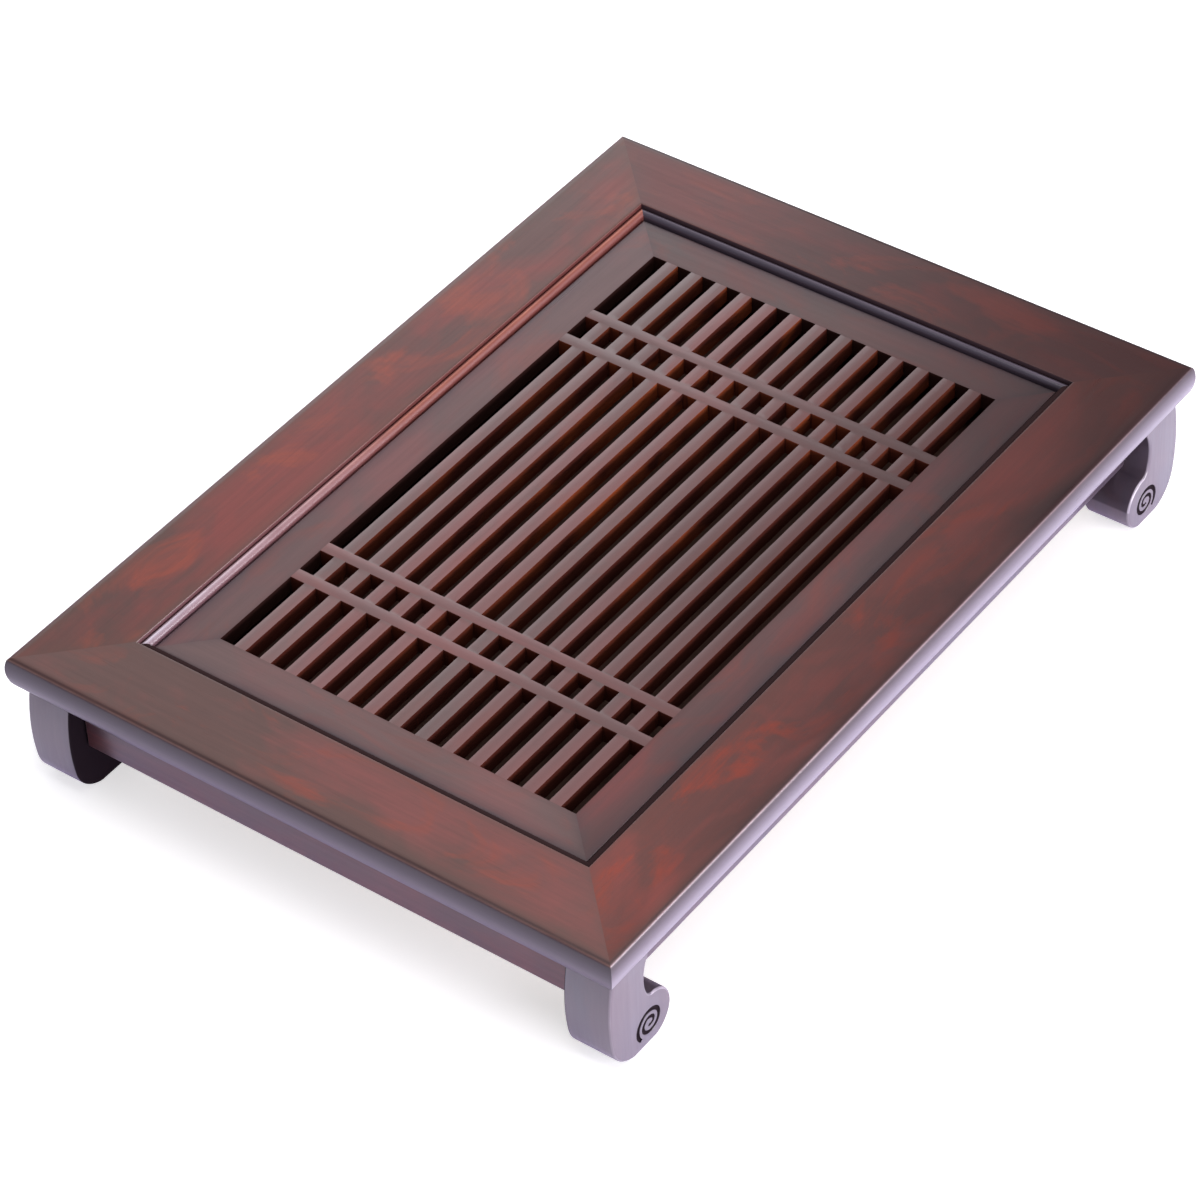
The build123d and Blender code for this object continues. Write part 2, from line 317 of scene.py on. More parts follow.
def finish_mesh(name, mesh, material, body, replaced, sharp=35):
    """Makes a mesh into a piece of the tray that stands for nodes of the frame.

    Edges that turn by more than sharp degrees stay crisp.
    """
    for polygon in mesh.polygons:
        polygon.use_smooth = True
    mesh.set_sharp_from_angle(angle=math.radians(sharp))
    mesh.materials.clear()
    mesh.materials.append(material)
    piece = bpy.data.objects.new(name, mesh)
    bpy.context.scene.collection.objects.link(piece)
    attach(piece, body)
    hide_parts(*replaced)


def face_out(mesh):
    """Turns a closed mesh's faces to point outwards."""
    grown = bmesh.new()
    grown.from_mesh(mesh)
    bmesh.ops.recalc_face_normals(grown, faces=grown.faces)
    grown.to_mesh(mesh)
    grown.free()


def mark(mesh, name, shares):
    """Keeps one number for each vertex on a mesh, for its finish to read."""
    mesh.attributes.new(name, "FLOAT", "POINT").data.foreach_set("value", shares)


def evaluated_mesh(item):
    """The plain mesh that an object comes to with its modifiers."""
    graph = bpy.context.evaluated_depsgraph_get()
    return bpy.data.meshes.new_from_object(item.evaluated_get(graph))


def loft(name, rings, marks):
    """A closed mesh through rings of points, with a flat cap at each end.

    marks holds the finish's marks by name, each with one share for each vertex.
    """
    size = len(rings[0])
    verts = [point for ring in rings for point in ring]
    faces = []
    for k in range(len(rings) - 1):
        for j in range(size):
            a, b = k * size + j, k * size + (j + 1) % size
            faces.append((a, b, b + size, a + size))
    faces.append(tuple(range(size))[::-1])
    faces.append(tuple(range((len(rings) - 1) * size, len(rings) * size)))
    mesh = bpy.data.meshes.new(name)
    mesh.from_pydata(verts, [], faces)
    for key, shares in marks.items():
        mark(mesh, key, shares)
    face_out(mesh)
    return mesh


def nearness(distance, reach):
    """1 on an edge, falling off to nothing beyond a reach."""
    return math.exp(-max(distance, 0) / reach)


def mitred_bar(name, section, along, across, turn, tones):
    """A bar on the right side whose ends are mitred, turned about Z in quarter turns."""
    # Shares of the half length from a mitre, closer together near it
    shares = [0, 0.004, 0.012, 0.03, 0.06, 0.1, 0.16, 0.24, 0.34, 0.46, 0.6, 0.8, 1]
    stations = [-(1 - share) for share in shares] + [1 - share for share in shares[-2::-1]]
    quarter = Matrix.Rotation(math.radians(90 * turn), 3, "Z")
    rings, marks = [], {}
    for station in stations:
        ring = []
        for inset, z in section:
            point = Vector((station * (along - inset), inset - across, z))
            ring.append(quarter @ point)
            to_mitre = (1 - abs(station)) * (along - inset)
            for key, value in tones(inset, z, to_mitre).items():
                marks.setdefault(key, []).append(value)
        rings.append(ring)
    return loft(name, rings, marks)


def build_mitred_frame(label, section, sizes, tones, woods, body):
    """Four mitred bars round a rectangle, each named for its side."""
    for turn, place in enumerate(("right", "far", "left", "near")):
        name = f"{label}_{place}"
        along, across = sizes if turn % 2 == 0 else sizes[::-1]
        mesh = mitred_bar(name, section, along, across, turn, tones)
        finish_mesh(f"{name}_finish", mesh, woods[place], body, [name])


# Frame rails


def rail_section():
    """Section of a rail: (distance in from the end of the flat top, height)."""
    upper_arris = (-nose_arris_reach, top - nose_arris_drop)
    lower_arris = (-nose_arris_reach, upper_arris[1] - nose_face_height)
    fullest = (-nose_reach, (upper_arris[1] + lower_arris[1]) / 2)
    face = arc_through(upper_arris, fullest, lower_arris, 22)
    leaving = (face[-1][0] - face[-2][0], face[-1][1] - face[-2][1])
    under_curve = tangent_arc(lower_arris, leaving, (nose_under_inset, rail_under), 14)
    roll = tangent_arc((nose_arris_roll, top), (-1, 0), upper_arris, 10)
    points = eased(roll + face[1:], upper_arris, nose_easing)[::-1]
    points = under_curve[::-1] + points
    inner = (land_width - arris_radius, top - arris_radius)
    margin = 3.5 * MM  # more points here, where the finish changes fast
    points += stretch((nose_arris_roll, top), (margin, top), 5)
    points += stretch((margin, top), (land_width - margin, top), 10)
    points += stretch((land_width - margin, top), (inner[0], top), 4)
    points += arc(inner, arris_radius, 90, 0, 6)
    bead_middle = (land_width + bead_radius, top - bead_drop - bead_radius)
    points += arc(bead_middle, bead_radius, 180, 0, 14)
    bead_end = land_width + 2 * bead_radius
    ledge_end = bead_end + ledge_width
    points += [(bead_end, grille_under), (ledge_end, grille_under), (ledge_end, rail_under)]
    points += stretch((ledge_end, rail_under), (nose_under_inset, rail_under), 6)
    return without_repeats(points)


def rail_tones(inset, z, to_mitre):
    """How the finish, with its painted shade, highlights and reflection, changes at a point of a
    rail, each as a share.
    """
    on_top = z > top - nose_arris_drop - hair
    arris = math.hypot(inset + nose_arris_reach, z - top + nose_arris_drop)
    quirk = math.hypot(inset - land_width, z - top + bead_drop + bead_radius)
    seat = math.hypot(inset - land_width - 2 * bead_radius, z - grille_top)
    crest = math.hypot(inset - land_width - bead_radius, z - top + bead_drop)
    # painted shade in the quirk beside the bead and at its foot by the grille
    shade = max(riser_shade * nearness(quirk, quirk_reach), nearness(seat, seat_reach))
    # painted shade on the riser under the inner arris
    if abs(inset - land_width) < riser_skin and z < top - riser_drop:
        shade = max(shade, riser_shade)
    edge_fade_and_shade, outer = 0.0, 0.0
    if on_top:
        # a painted dark reflection and shade just inside the upper arris
        roll = abs(inset + roll_middle) - roll_half_width
        shade = max(shade, nearness(roll, roll_reach))
        # the edge fade on a rail: a greyer stain near the edges and mitres
        margin = min(abs(inset), abs(land_width - inset))
        edge_fade_and_shade = max(nearness(margin, margin_reach), 0.8 * nearness(to_mitre, mitre_reach))
        outer = nearness(inset, outer_reach)
    return {
        "shade": shade,
        # rubbed wear with a painted highlight on the upper arris, and a painted highlight on the
        # bead's crest
        "wear_and_highlight": max(nearness(arris, rub_and_highlight_reach), nearness(crest, crest_reach)),
        "edge_fade_and_shade": edge_fade_and_shade,
        # the nosing takes a painted reflection, lighter toward its lower edge by the low share
        "nosing": 1.0 if inset < nose_under_inset and not on_top else 0.0,
        "low": min(max((top - z) / nose_face_height, 0.0), 1.0),
        # bead and riser: painted shade on the near and right rails, a painted highlight on the left
        # one
        "sunk": 1.0 if inset > land_width - skin else 0.0,
        "outer": outer,
    }


def build_rails(woods):
    """Four mitred rails with their moulded edge, riser and inner bead."""
    sizes = (half_length, half_width)
    section = rail_section()
    build_mitred_frame("rail", section, sizes, rail_tones, woods, "tray_frame")


# Grille


def border_section():
    """Section of a border piece, with eased edges."""
    r = lath_edge
    low, high, wide = grille_under, grille_top, border_width
    margin = 4 * MM  # more points here, where the finish changes fast
    points = arc((r, low + r), r, 270, 180, 3) + arc((r, high - r), r, 180, 90, 4)
    points += stretch((r, high), (margin, high), 5)
    points += stretch((margin, high), (wide, high), 8)
    points += [(wide, high), (wide, high - 2 * skin)]
    points += arc((wide - r, low + r), r, 0, -90, 3)
    return without_repeats(points)


def border_tones(inset, z, to_mitre):
    """How the finish and its painted shade change at a point of a border piece, each as a share."""
    shade = 0.0
    if z > grille_top - skin:
        # painted shade by the edge of the slots
        shade = 0.2 * nearness(border_width - inset, slot_reach)
        sunk = 0.0
    # painted shade on the slot walls, the outer face and its eased edges
    elif inset > border_width / 2:
        sunk = 1.0  # wall of a slot
    elif inset < hair:
        sunk = 0.65  # outer face
    else:
        sunk = 0.3  # eased outer edges
    # painted shade along the outer edge by the rail's bead, and a darker tone at the mitres
    edge_fade_and_shade = max(
        nearness(inset, border_margin_reach), 0.5 * nearness(to_mitre, border_mitre_reach)
    )
    return {"shade": shade, "edge_fade_and_shade": edge_fade_and_shade, "sunk": sunk}


def build_borders(woods):
    """Four mitred border pieces round the laths."""
    sizes = (grille_half_length, grille_half_width)
    section = border_section()
    build_mitred_frame(
        "grille_border", section, sizes, border_tones, woods, "grille"
    )


def lath_family(tree, name):
    """Adds the nodes for one family of equal laths, with its sizes as named inputs."""
    kinds = {
        "count": "NodeSocketInt",
        "first": "NodeSocketVector",
        "pitch": "NodeSocketVector",
        "turn": "NodeSocketVector",
        "run": "NodeSocketFloat",
        "height": "NodeSocketFloat",
        "crosswise": "NodeSocketFloat",
        "seed": "NodeSocketInt",
    }
    for label, kind in kinds.items():
        tree.interface.new_socket(f"{name} {label}", in_out="INPUT", socket_type=kind)
    given = tree.nodes.new("NodeGroupInput")
    value = {label: given.outputs[f"{name} {label}"] for label in kinds}
    start, end = (
        new_node(
            tree,
            "ShaderNodeCombineXYZ",
            inputs={"X": reckon(tree, "MULTIPLY", value["run"], share)},
        )
        for share in (-0.5, 0.5)
    )
    path = new_node(
        tree,
        "GeometryNodeCurvePrimitiveLine",
        inputs={"Start": start.outputs[0], "End": end.outputs[0]},
    )
    fine = new_node(
        tree,
        "GeometryNodeResampleCurve",
        {"mode": "LENGTH"},
        {"Curve": path.outputs[0], "Length": lath_step},
    )
    outline = new_node(
        tree,
        "GeometryNodeCurvePrimitiveQuadrilateral",
        {"mode": "RECTANGLE"},
        {"Width": given.outputs["lath width"], "Height": value["height"]},
    )
    eased = new_node(
        tree,
        "GeometryNodeFilletCurve",
        {"mode": "POLY"},
        {"Curve": outline.outputs[0], "Count": 3, "Radius": given.outputs["lath edge"]},
    )
    solid = new_node(
        tree,
        "GeometryNodeCurveToMesh",
        inputs={"Curve": fine.outputs[0], "Profile Curve": eased.outputs[0], "Fill Caps": True},
    )
    places = new_node(
        tree,
        "GeometryNodeMeshLine",
        {"mode": "OFFSET"},
        {"Count": value["count"], "Start Location": value["first"], "Offset": value["pitch"]},
    )
    laths = new_node(
        tree,
        "GeometryNodeInstanceOnPoints",
        inputs={
            "Points": places.outputs[0],
            "Instance": solid.outputs[0],
            "Rotation": value["turn"],
        },
    )
    chance = new_node(
        tree, "FunctionNodeRandomValue", {"data_type": "FLOAT"}, {"Seed": value["seed"]}
    )
    for label, share in (("tone", chance.outputs[1]), ("crosswise", value["crosswise"])):
        laths = new_node(
            tree,
            "GeometryNodeStoreNamedAttribute",
            {"data_type": "FLOAT", "domain": "INSTANCE"},
            {"Geometry": laths.outputs[0], "Name": label, "Value": share},
        )
    return new_node(tree, "GeometryNodeRealizeInstances", inputs={0: laths.outputs[0]})


def lattice_tree(material):
    """Slats and two families of cross bars, a little uneven, joined into one lattice."""
    tree = bpy.data.node_groups.new("slat lattice", "GeometryNodeTree")
    for label in ("lath width", "lath edge", "waver"):
        tree.interface.new_socket(label, in_out="INPUT", socket_type="NodeSocketFloat")
    tree.interface.new_socket("Geometry", in_out="OUTPUT", socket_type="NodeSocketGeometry")
    families = [lath_family(tree, name) for name in ("slats", "outer bars", "inner bars")]
    given = tree.nodes.new("NodeGroupInput")
    joined = tree.nodes.new("GeometryNodeMeshBoolean")
    joined.operation = "UNION"
    joined.solver = "MANIFOLD"
    for family in families:
        where = new_node(tree, "GeometryNodeInputPosition")
        cloud = new_node(
            tree,
            "ShaderNodeTexNoise",
            {"noise_dimensions": "3D"},
            {"Vector": where.outputs[0], "Scale": lath_waver_scale, "Detail": 3.0},
        )
        centred = new_node(
            tree,
            "ShaderNodeVectorMath",
            {"operation": "SUBTRACT"},
            {0: cloud.outputs["Color"], 1: (0.5, 0.5, 0.5)},
        )
        flat = new_node(
            tree,
            "ShaderNodeVectorMath",
            {"operation": "MULTIPLY"},
            {0: centred.outputs[0], 1: (1.0, 1.0, 0.0)},
        )
        sized = new_node(
            tree,
            "ShaderNodeVectorMath",
            {"operation": "SCALE"},
            {0: flat.outputs[0], "Scale": given.outputs["waver"]},
        )
        moved = new_node(
            tree,
            "GeometryNodeSetPosition",
            inputs={"Geometry": family.outputs[0], "Offset": sized.outputs[0]},
        )
        tree.links.new(moved.outputs[0], joined.inputs["Mesh 2"])
    real = new_node(tree, "GeometryNodeRealizeInstances", inputs={0: joined.outputs[0]})
    coated = new_node(
        tree, "GeometryNodeSetMaterial", inputs={"Geometry": real.outputs[0], "Material": material}
    )
    result = tree.nodes.new("NodeGroupOutput")
    tree.links.new(coated.outputs[0], result.inputs["Geometry"])
    return tree


def grown_mesh(name, tree, given):
    """The plain mesh that a geometry tree makes from named inputs."""
    holder = bpy.data.objects.new(name, bpy.data.meshes.new(name))
    bpy.context.scene.collection.objects.link(holder)
    modifier = holder.modifiers.new("grow", "NODES")
    modifier.node_group = tree
    for item in tree.interface.items_tree:
        if item.item_type == "SOCKET" and item.in_out == "INPUT" and item.name in given:
            modifier[item.identifier] = given[item.name]
    mesh = evaluated_mesh(holder)
    bpy.data.objects.remove(holder)
    return mesh


def build_lattice(material):
    """The slats and cross bars as one lattice whose tops lie flush."""
    middle = (grille_top + grille_under) / 2
    height = grille_top - grille_under - 2 * lath_sink
    slat_run = 2 * (grille_half_length - border_width + lath_bury)
    bar_run = 2 * (grille_half_width - border_width + lath_bury)
    given = {
        "lath width": slat_width,
        "lath edge": lath_edge,
        "waver": lath_waver,
        "slats count": slat_count,
        "slats first": (0.0, slat_first, middle),
        "slats pitch": (0.0, slat_pitch, 0.0),
        "slats turn": (0.0, 0.0, 0.0),
        "slats run": slat_run,
        "slats height": height,
        "slats crosswise": 0.0,
        "slats seed": 3,
    }
    for name, place, seed in (("outer bars", bar_outer, 7), ("inner bars", bar_inner, 11)):
        given |= {
            f"{name} count": 2,
            f"{name} first": (-place, 0.0, middle),
            f"{name} pitch": (2 * place, 0.0, 0.0),
            f"{name} turn": (0.0, 0.0, math.pi / 2),
            f"{name} run": bar_run,
            f"{name} height": height + 2 * bar_proud,
            f"{name} crosswise": 1.0,
            f"{name} seed": seed,
        }
    mesh = grown_mesh("grille_lattice", lattice_tree(material), given)
    replaced = [f"slat_{number:02d}" for number in range(1, slat_count + 1)]
    replaced += [f"cross_bar_{number}" for number in range(1, 5)]
    finish_mesh("grille_lattice", mesh, material, "grille", replaced, sharp=20)


# Feet


def foot_outline():
    """Side view of a foot: (distance in from the short arris, height)."""
    shoulder = (foot_shoulder, rail_under)
    outer = arc_through(shoulder, foot_belly, foot_heel, 26)
    run, fall = (outer[-1][k] - outer[-2][k] for k in (0, 1))
    inward = (run / math.hypot(run, fall), fall / math.hypot(run, fall))
    heel_radius = (foot_heel[1] + foot_sole_trim) / (1 - inward[0])
    sole_start = (foot_heel[0] - heel_radius * inward[1], -foot_sole_trim)
    sole = tangent_arc(foot_heel, inward, sole_start, 22)
    head_middle = (foot_head_reach - foot_head_radius, foot_head_radius - foot_sole_trim)
    run = foot_notch_inset - head_middle[0]
    notch = (foot_notch_inset, head_middle[1] + math.sqrt(foot_head_radius**2 - run**2))
    head = arc(head_middle, foot_head_radius, -90, angle_at(head_middle, notch), 48)
    leg = arc_through(notch, foot_waist, (foot_top_inset, rail_under), 30)
    points = eased(outer + sole + head + leg[1:], notch, foot_notch_reach)
    points = [(u, max(z, 0)) for u, z in points]
    points += stretch((foot_top_inset, rail_under), shoulder, 8)
    return without_repeats(points, foot_point_gap)


def foot_blank(outline):
    """Rings of a foot from its outer side face inwards: (distance in, height, depth)."""
    normals = outward(outline)
    turns = [math.radians(90 * step / foot_edge_steps) for step in range(foot_edge_steps + 1)]
    rim = [((1 - math.sin(turn)) * foot_edge, (1 - math.cos(turn)) * foot_edge) for turn in turns]
    layers = rim + [(0, foot_thickness * share) for share in (0.25, 0.5, 0.75)]
    layers += [(inset, foot_thickness - depth) for inset, depth in rim[::-1]]
    rings = []
    for shrink, depth in layers:
        ring = []
        for (u, z), (out_u, out_z) in zip(outline, normals):
            lift = 0 if z > rail_under - 2 * skin else out_z * shrink
            ring.append((u - out_u * shrink, max(z - lift, 0), depth))
        rings.append(ring)
    return rings


def spiral_tool():
    """The round cutter that carves the spiral, running from the rim to the eye."""
    points = []
    x, side = spiral_radius, 1
    lead = math.radians(spiral_start)
    for turn in range(spiral_half_turns):
        radius = spiral_radius - turn * spiral_step
        middle = x - side * radius
        start = 0 if side > 0 else 180
        points += arc((middle, 0), radius, start, start + 180, 20)
        x = middle - side * radius
        side = -side
    points = [
        (x * math.cos(lead) + y * math.sin(lead), x * math.sin(lead) - y * math.cos(lead))
        for x, y in without_repeats(points)
    ]
    curve = bpy.data.curves.new("spiral", "CURVE")
    curve.dimensions = "3D"
    curve.bevel_depth = spiral_groove
    curve.bevel_resolution = 4
    curve.use_fill_caps = True
    line = curve.splines.new("POLY")
    line.points.add(len(points) - 1)
    for k, (u, z) in enumerate(points):
        share = k / (len(points) - 1)
        line.points[k].co = (u, z, 0, 1)
        line.points[k].radius = (1.0 - 0.35 * share) * min(1.0, 0.7 + 6 * share)
    holder = bpy.data.objects.new("spiral", curve)
    bpy.context.scene.collection.objects.link(holder)
    mesh = evaluated_mesh(holder)
    bpy.data.objects.remove(holder)
    return mesh


def carved(blank, tool):
    """A mesh with another mesh cut out of it."""
    target = bpy.data.objects.new("blank", blank)
    cutter = bpy.data.objects.new("cutter", tool)
    for item in (target, cutter):
        bpy.context.scene.collection.objects.link(item)
    cut = target.modifiers.new("carve", "BOOLEAN")
    cut.operation = "DIFFERENCE"
    cut.solver = "EXACT"
    cut.object = cutter
    mesh = evaluated_mesh(target)
    for item in (target, cutter):
        bpy.data.objects.remove(item)
    return mesh


def foot_marks(mesh):
    """Marks painted shade in the carved groove, rubbed edges with painted highlights, and painted
    shade where the foot is out of the light, by where it lies on the foot.
    """
    carved_shares, worn_and_highlit_shares, sunk_shares = [], [], []
    for vert in mesh.vertices:
        u, z, depth = vert.co
        by_spiral = math.dist((u, z), spiral_centre) < spiral_radius + spiral_margin
        in_groove = by_spiral and groove_depths[0] < depth < groove_depths[1]
        in_throat = u > throat_inset and z > throat_low
        # painted shade in the groove, on the inner side face and in the throat
        if in_groove or depth > foot_thickness - 0.6 * foot_edge:
            sunk = 1.0
        elif in_throat and depth > 0.9 * foot_edge:
            sunk = 0.6
        else:
            sunk = 0.0
        # rubbed wear on the rim, with a stronger painted highlight on the crown of the head
        worn_and_highlit = 0.0
        if not by_spiral and 0.1 * foot_edge < depth < 0.9 * foot_edge:
            on_crown = in_throat and u > foot_notch_inset and z < crown_high
            worn_and_highlit = 0.7 if on_crown else 0.2
        carved_shares.append(1.0 if in_groove else 0.0)
        worn_and_highlit_shares.append(worn_and_highlit)
        sunk_shares.append(sunk)
    mark(mesh, "shade", carved_shares)
    mark(mesh, "wear_and_highlight", worn_and_highlit_shares)
    mark(mesh, "sunk", sunk_shares)


def build_feet(wood):
    """Four scroll feet with a carved spiral on their outer side faces."""
    rings = foot_blank(foot_outline())
    blank = loft("foot", rings, {})
    tool = spiral_tool()
    tool.transform(Matrix.Translation((*spiral_centre, spiral_depth - spiral_groove)))
    foot = carved(blank, tool)
    foot_marks(foot)
    for end, side_x in (("near", -1), ("far", 1)):
        for side, side_y in (("right", -1), ("left", 1)):
            mesh = foot.copy()
            place = Matrix(
                (
                    (-side_x, 0, 0, side_x * half_length),
                    (0, 0, -side_y, -side_y * foot_low.y),
                    (0, 1, 0, 0),
                    (0, 0, 0, 1),
                )
            )
            mesh.transform(place)
            face_out(mesh)
            name = f"foot_{end}_{side}"
            finish_mesh(f"{name}_finish", mesh, wood, "tray_frame", [name])


# Boards


def block(low, high):
    """A box between two corners, ready to be worked on."""
    grown = bmesh.new()
    bmesh.ops.create_cube(grown, size=1)
    shape = Matrix.Translation((low + high) / 2) @ Matrix.Diagonal((*(high - low), 1))
    bmesh.ops.transform(grown, matrix=shape, verts=grown.verts)
    return grown


def worked(grown, name):
    """The mesh of what was worked on."""
    mesh = bpy.data.meshes.new(name)
    grown.to_mesh(mesh)
    grown.free()
    return mesh


def rebate_tool(node):
    """A block that clears the room a side board takes, and a little past its outer face."""
    low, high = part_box(node)
    if low.y + high.y > 0:
        high.y += rebate_overrun
    else:
        low.y -= rebate_overrun
    return worked(block(low, high), "rebate")


def build_board(node, wood, body, edge, rebated_for=()):
    """A board with eased edges, as large as its node, rebated at its ends for other nodes."""
    low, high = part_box(node)
    grown = block(low, high)
    bmesh.ops.bevel(
        grown, geom=grown.edges[:], offset=edge, segments=3, profile=0.5, affect="EDGES"
    )
    mesh = worked(grown, node)
    for other in rebated_for:
        mesh = carved(mesh, rebate_tool(other))
    # the eased edges take the rubbed colour: wear, and on the side boards a pale painted highlight
    worn_and_highlit = []
    for vert in mesh.vertices:
        off_faces = sorted(min(vert.co[k] - low[k], high[k] - vert.co[k]) for k in range(3))
        worn_and_highlit.append(1.0 if off_faces[1] < 0.9 * edge else 0.0)
    mark(mesh, "wear_and_highlight", worn_and_highlit)
    finish_mesh(f"{node}_finish", mesh, wood, body, [node])


# Finishes


def mixed(tree, share, a, b):
    """Colour a with a share of colour b in it."""
    return new_node(
        tree, "ShaderNodeMix", {"data_type": "RGBA"}, {0: share, 6: a, 7: b}
    ).outputs[2]


def spread(tree, value, low, high, out_low=0.0, out_high=1.0):
    """Maps a value from one range to another, held at its ends."""
    inputs = {
        "Value": value,
        "From Min": low,
        "From Max": high,
        "To Min": out_low,
        "To Max": out_high,
    }
    return new_node(tree, "ShaderNodeMapRange", {"clamp": True}, inputs).outputs[0]


def product(tree, first, *others):
    """Values multiplied together."""
    for other in others:
        first = reckon(tree, "MULTIPLY", first, other)
    return first


def noise(tree, where, scale, detail=3.0, rough=0.5, bend=0.0):
    """A noise value at a scale per metre."""
    inputs = {
        "Vector": where,
        "Scale": scale,
        "Detail": detail,
        "Roughness": rough,
        "Distortion": bend,
    }
    return new_node(tree, "ShaderNodeTexNoise", inputs=inputs).outputs["Fac"]


def marked(tree, name):
    """A value kept on the mesh."""
    return new_node(tree, "ShaderNodeAttribute", {"attribute_name": name}).outputs["Fac"]


def object_axis(tree, axis):
    """How far along one of the tray's axes a place lies."""
    place = new_node(tree, "ShaderNodeTexCoord").outputs["Object"]
    return new_node(tree, "ShaderNodeSeparateXYZ", inputs={0: place}).outputs[axis]


def mapped(tree, place, **inputs):
    """Coordinates turned, moved or squeezed."""
    return new_node(tree, "ShaderNodeMapping", inputs={"Vector": place, **inputs}).outputs[0]


def grain_space(tree, grain, offset, crosswise=False):
    """Coordinates whose X runs along the grain, and those squeezed for clouds and fibres.

    With crosswise, the laths that are marked so have their grain along Y.
    """
    place = new_node(tree, "ShaderNodeTexCoord").outputs["Object"]
    turns = {"X": (0, 0, 0), "Y": (0, 0, math.pi / 2), "Z": (0, math.pi / 2, 0)}
    turned = mapped(tree, place, Rotation=turns[grain], Location=offset)
    if crosswise:
        other = mapped(tree, place, Rotation=turns["Y"], Location=offset)
        turned = new_node(
            tree,
            "ShaderNodeMix",
            {"data_type": "VECTOR"},
            {0: marked(tree, "crosswise"), 4: turned, 5: other},
        ).outputs[1]
    cloudy = mapped(tree, turned, Scale=(1.0, 2.1, 2.1))
    fibres = mapped(tree, turned, Scale=(0.035, 1.0, 1.0))
    return turned, cloudy, fibres


def upright_share(tree):
    """1 on upright faces and 0 on level ones."""
    facing = new_node(tree, "ShaderNodeNewGeometry").outputs["True Normal"]
    local = new_node(
        tree,
        "ShaderNodeVectorTransform",
        {"vector_type": "NORMAL", "convert_from": "WORLD", "convert_to": "OBJECT"},
        {"Vector": facing},
    ).outputs[0]
    up = new_node(tree, "ShaderNodeSeparateXYZ", inputs={0: local}).outputs["Z"]
    return spread(tree, reckon(tree, "ABSOLUTE", up), *level_facing, 1.0, 0.0)


def new_material(name):
    """An empty material and its tree."""
    material = bpy.data.materials.new(name)
    material.use_nodes = True
    material.node_tree.nodes.clear()
    return material, material.node_tree


def relief(tree, height, strength, depth):
    """Fine relief that follows a height."""
    inputs = {"Strength": strength, "Distance": depth, "Height": height}
    return new_node(tree, "ShaderNodeBump", inputs=inputs).outputs[0]


def finish_material(tree, inputs):
    """Ends a material's tree in its surface."""
    shader = new_node(tree, "ShaderNodeBsdfPrincipled", inputs=inputs)
    new_node(tree, "ShaderNodeOutputMaterial", inputs={"Surface": shader.outputs[0]})


def wood_figure(tree, cloudy, fibres):
    """The noises that a wood's stain, gloss and relief share."""
    fine = noise(tree, fibres, 2400.0, rough=0.6)
    return {
        "broad": noise(tree, cloudy, 10.0, bend=0.9),
        "middling": noise(tree, cloudy, 34.0, detail=4.0, rough=0.6, bend=0.8),
        "patch": noise(tree, cloudy, 15.0, detail=5.0, rough=0.6, bend=1.6),
        "fibre": noise(tree, fibres, 520.0, detail=5.0, rough=0.65),
        "pores": spread(tree, fine, 0.6, 0.72),
    }


def cloudy_stain_and_edge_shade(tree, stain_and_light, figure, patches):
    """Stain that drifts from grey to red, with orange patches, dark fibres and pores, and a margin
    colour by the edges: greyer stain on the rails, painted shade along the borders' outer edges.
    """
    drift = reckon(
        tree,
        "ADD",
        spread(tree, figure["broad"], 0.38, 0.62),
        spread(tree, figure["middling"], 0.3, 0.7, -0.35, 0.35),
    )
    colour = mixed(tree, spread(tree, drift, 0.05, 0.95), stain_and_light["grey"], stain_and_light["red"])
    hot = product(tree, spread(tree, figure["patch"], 0.52, 0.66), 0.85 * patches)
    colour = mixed(tree, hot, colour, stain_and_light["orange"])
    for streaks in (spread(tree, figure["fibre"], 0.38, 0.7), figure["pores"]):
        colour = mixed(tree, product(tree, streaks, 0.22), colour, stain_and_light["dark"])
    ragged = spread(tree, figure["middling"], 0.3, 0.6, 0.5, 1.0)
    faded_and_shaded = product(tree, marked(tree, "edge_fade_and_shade"), ragged, 0.8)
    return mixed(tree, faded_and_shaded, colour, stain_and_light["margin"])


def darker_end(tree, stain_and_light, figure, along, colour):
    """Deeper stain and painted shade that darken a piece toward one end, and a darker outer strip if
    it has one.
    """
    start, end, most = stain_and_light["fall"]
    colour = mixed(tree, spread(tree, along, start, end, 0.0, most), colour, stain_and_light["far"])
    if "outer" not in stain_and_light:
        return colour
    strip = product(
        tree,
        marked(tree, "outer"),
        spread(tree, figure["broad"], 0.3, 0.7, 1.0, 0.5),
        spread(tree, along, *outer_run, 0.4, 1.0),
    )
    return mixed(tree, strip, colour, stain_and_light["outer"])


